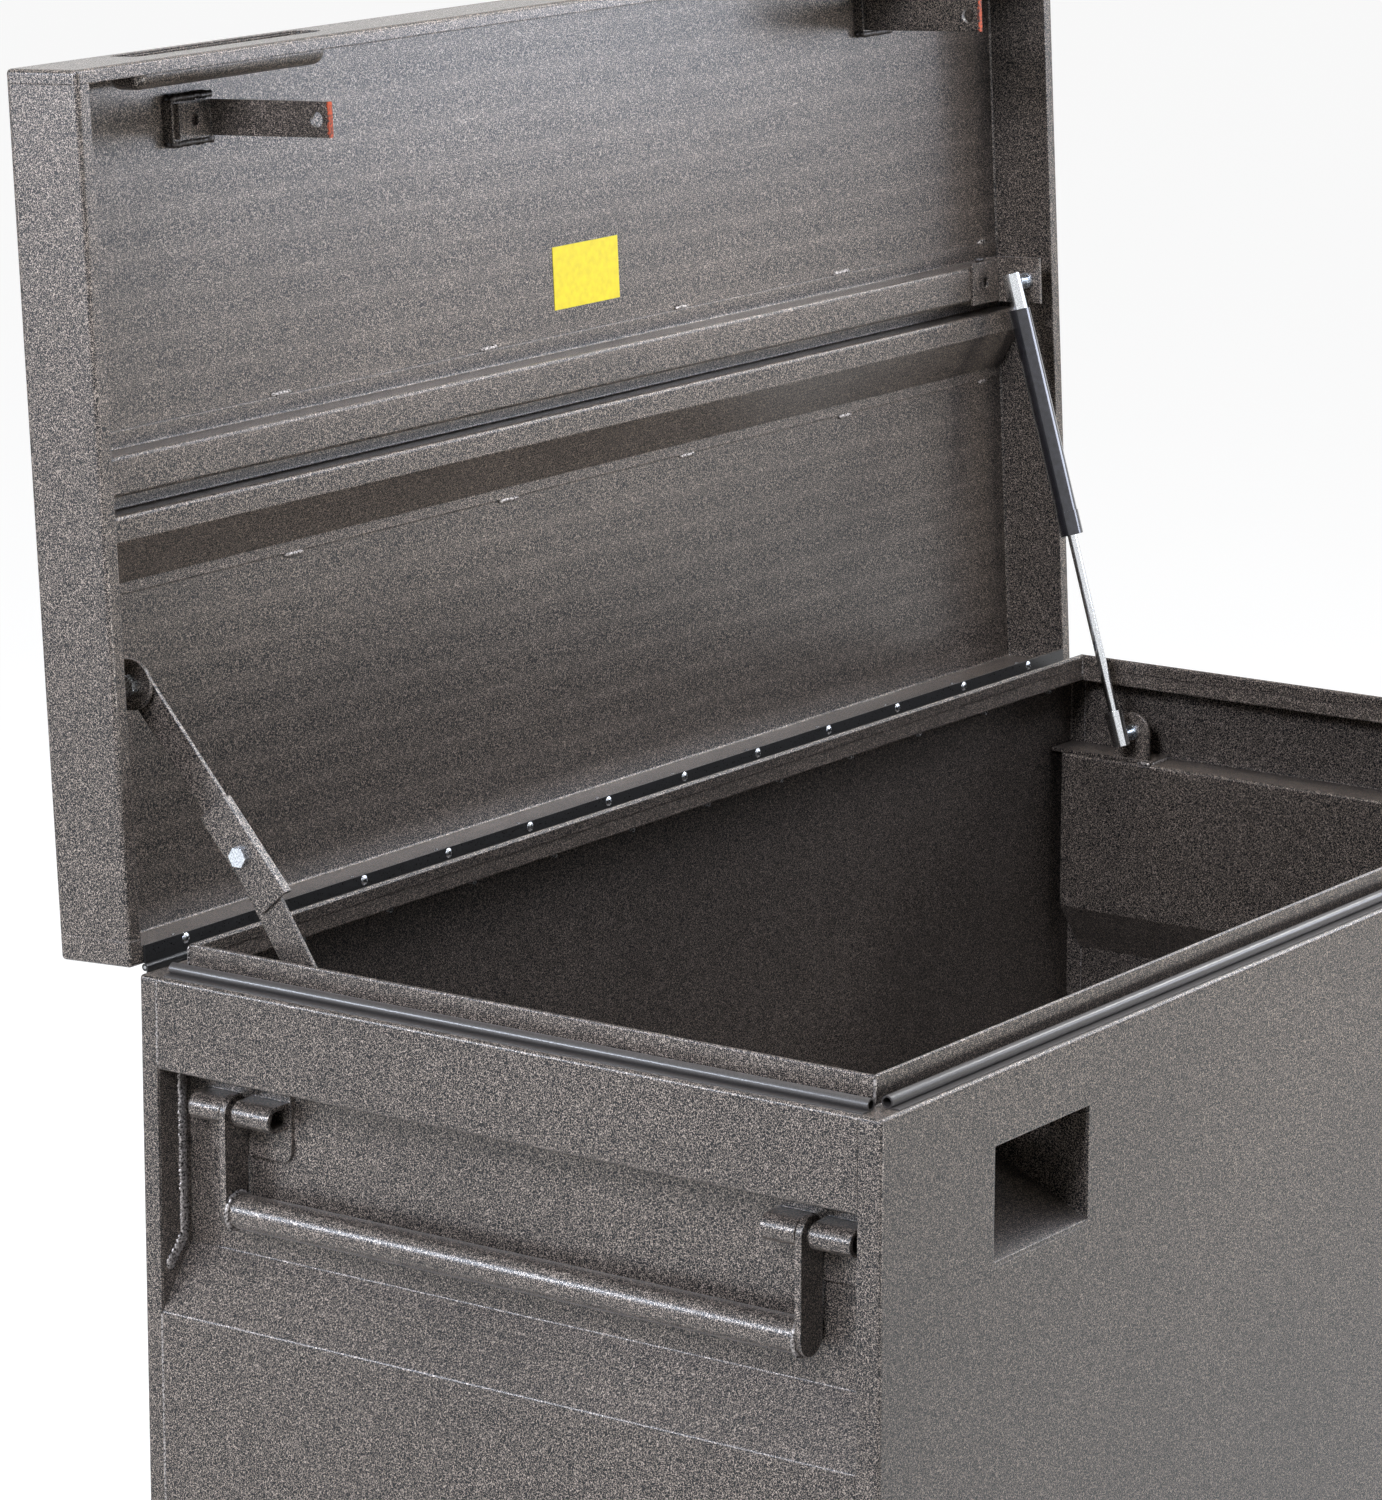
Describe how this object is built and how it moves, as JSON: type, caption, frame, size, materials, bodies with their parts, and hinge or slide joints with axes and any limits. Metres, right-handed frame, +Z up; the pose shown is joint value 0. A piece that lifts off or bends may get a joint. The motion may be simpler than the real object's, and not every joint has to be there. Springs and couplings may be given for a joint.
{
  "type": "tool chest",
  "caption": "Steel site tool chest with a hinged lid, piano hinge, gas strut, folding stay, recessed lock pockets and recessed drop handles",
  "frame": {"origin": "middle of the rectangle that the skids stand on, on the floor under the body's middle", "axes": "+X along the length towards the strut end, +Y from the front to the hinge side, +Z up"},
  "size_m": [1.229, 0.7082, 1.2632],
  "materials": {
    "hammertone_paint": "hammered powder coat",
    "hinge_black": "black paint",
    "zinc_plate": "bright zinc plate",
    "seal_rubber": "smooth",
    "strut_black": "satin black paint",
    "strut_chrome": "hard chrome",
    "plain_steel": "bare steel",
    "label_yellow": "plain plate"
  },
  "bodies": {
    "chest": {"front_panel": "hammertone_paint", "rear_panel": "hammertone_paint", "left_end_panel": "hammertone_paint", "right_end_panel": "hammertone_paint", "recess_end_plates": "hammertone_paint", "floor_panel": "hammertone_paint", "left_skid": "hammertone_paint", "right_skid": "hammertone_paint", "left_lock_pocket": "hammertone_paint", "right_lock_pocket": "hammertone_paint", "left_seal": "seal_rubber", "right_seal": "seal_rubber", "front_seal": "seal_rubber", "hinge_lower_leaf": "hinge_black", "hinge_pin": "plain_steel", "hinge_lower_screws": "zinc_plate", "strut_foot_bracket": "hammertone_paint", "strut_foot_stud": "zinc_plate", "stay_foot_bracket": "hammertone_paint", "stay_foot_bolt": "zinc_plate", "left_front_handle_bracket": "hammertone_paint", "left_rear_handle_bracket": "hammertone_paint", "right_front_handle_bracket": "hammertone_paint", "right_rear_handle_bracket": "hammertone_paint"},
    "lid": {"lid_shell": "hammertone_paint", "lid_left_cap": "hammertone_paint", "lid_right_cap": "hammertone_paint", "lid_stiffener": "hammertone_paint", "left_finger_grip": "hammertone_paint", "right_finger_grip": "hammertone_paint", "left_lock_arm": "hammertone_paint", "right_lock_arm": "hammertone_paint", "lock_arm_pads": "hammertone_paint", "lid_label": "label_yellow", "hinge_upper_leaf": "hinge_black", "hinge_upper_screws": "zinc_plate", "strut_head_bracket": "hammertone_paint", "strut_head_stud": "zinc_plate", "stay_head_bracket": "hammertone_paint", "stay_head_screw": "zinc_plate"},
    "left_handle": {"left_handle_tube": "hammertone_paint", "left_handle_front_arm": "hammertone_paint", "left_handle_rear_arm": "hammertone_paint", "left_handle_pins": "plain_steel"},
    "right_handle": {"right_handle_tube": "hammertone_paint", "right_handle_front_arm": "hammertone_paint", "right_handle_rear_arm": "hammertone_paint", "right_handle_pins": "plain_steel"},
    "strut_lower": {"strut_rod": "strut_chrome", "strut_piston": "plain_steel", "strut_rod_socket": "plain_steel"},
    "strut_upper": {"strut_cylinder": "strut_black", "strut_cylinder_socket": "plain_steel", "strut_head_ball": "zinc_plate"},
    "stay_lower": {"stay_lower_link": "hammertone_paint"},
    "stay_upper": {"stay_upper_link": "hammertone_paint", "stay_channel": "hammertone_paint", "stay_elbow_bolt": "zinc_plate", "stay_head_bolt": "zinc_plate"}
  },
  "joints": [
    {"name": "lid_hinge", "type": "hinge", "parent": "chest", "child": "lid", "pos_m": [0, 0.3076, 0.6472], "axis": [1, 0, 0], "range_deg": [0, 93]},
    {"name": "strut_foot_swing", "type": "hinge", "parent": "chest", "child": "strut_lower", "pos_m": [0.5575, 0.2255, 0.606], "axis": [1, 0, 0], "range_deg": [0, 94.79]},
    {"name": "strut_slide", "type": "slide", "parent": "strut_lower", "child": "strut_upper", "axis": [0, 0.2845, 0.9587], "range_m": [-0.133, 0]},
    {"name": "stay_foot_swing", "type": "hinge", "parent": "chest", "child": "stay_lower", "pos_m": [-0.5637, 0.166, 0.605], "axis": [1, 0, 0], "range_deg": [0, 140.76]},
    {"name": "stay_elbow", "type": "hinge", "parent": "stay_lower", "child": "stay_upper", "pos_m": [-0.562, 0.24704, 0.72801], "axis": [1, 0, 0], "range_deg": [-138.57, 0]},
    {"name": "left_handle_swing", "type": "hinge", "parent": "chest", "child": "left_handle", "pos_m": [-0.592, 0, 0.554], "axis": [0, 1, 0], "range_deg": [0, 90]},
    {"name": "right_handle_swing", "type": "hinge", "parent": "chest", "child": "right_handle", "pos_m": [0.592, 0, 0.554], "axis": [0, -1, 0], "range_deg": [0, 90]}
  ],
  "couplings": [
    {"joint": "strut_foot_swing", "follows": "lid_hinge", "ratio": 1.0187},
    {"joint": "strut_slide", "follows": "lid_hinge", "m_per_rad": -0.08189},
    {"joint": "stay_foot_swing", "follows": "lid_hinge", "ratio": 1.513},
    {"joint": "stay_elbow", "follows": "lid_hinge", "ratio": -1.4895}
  ]
}
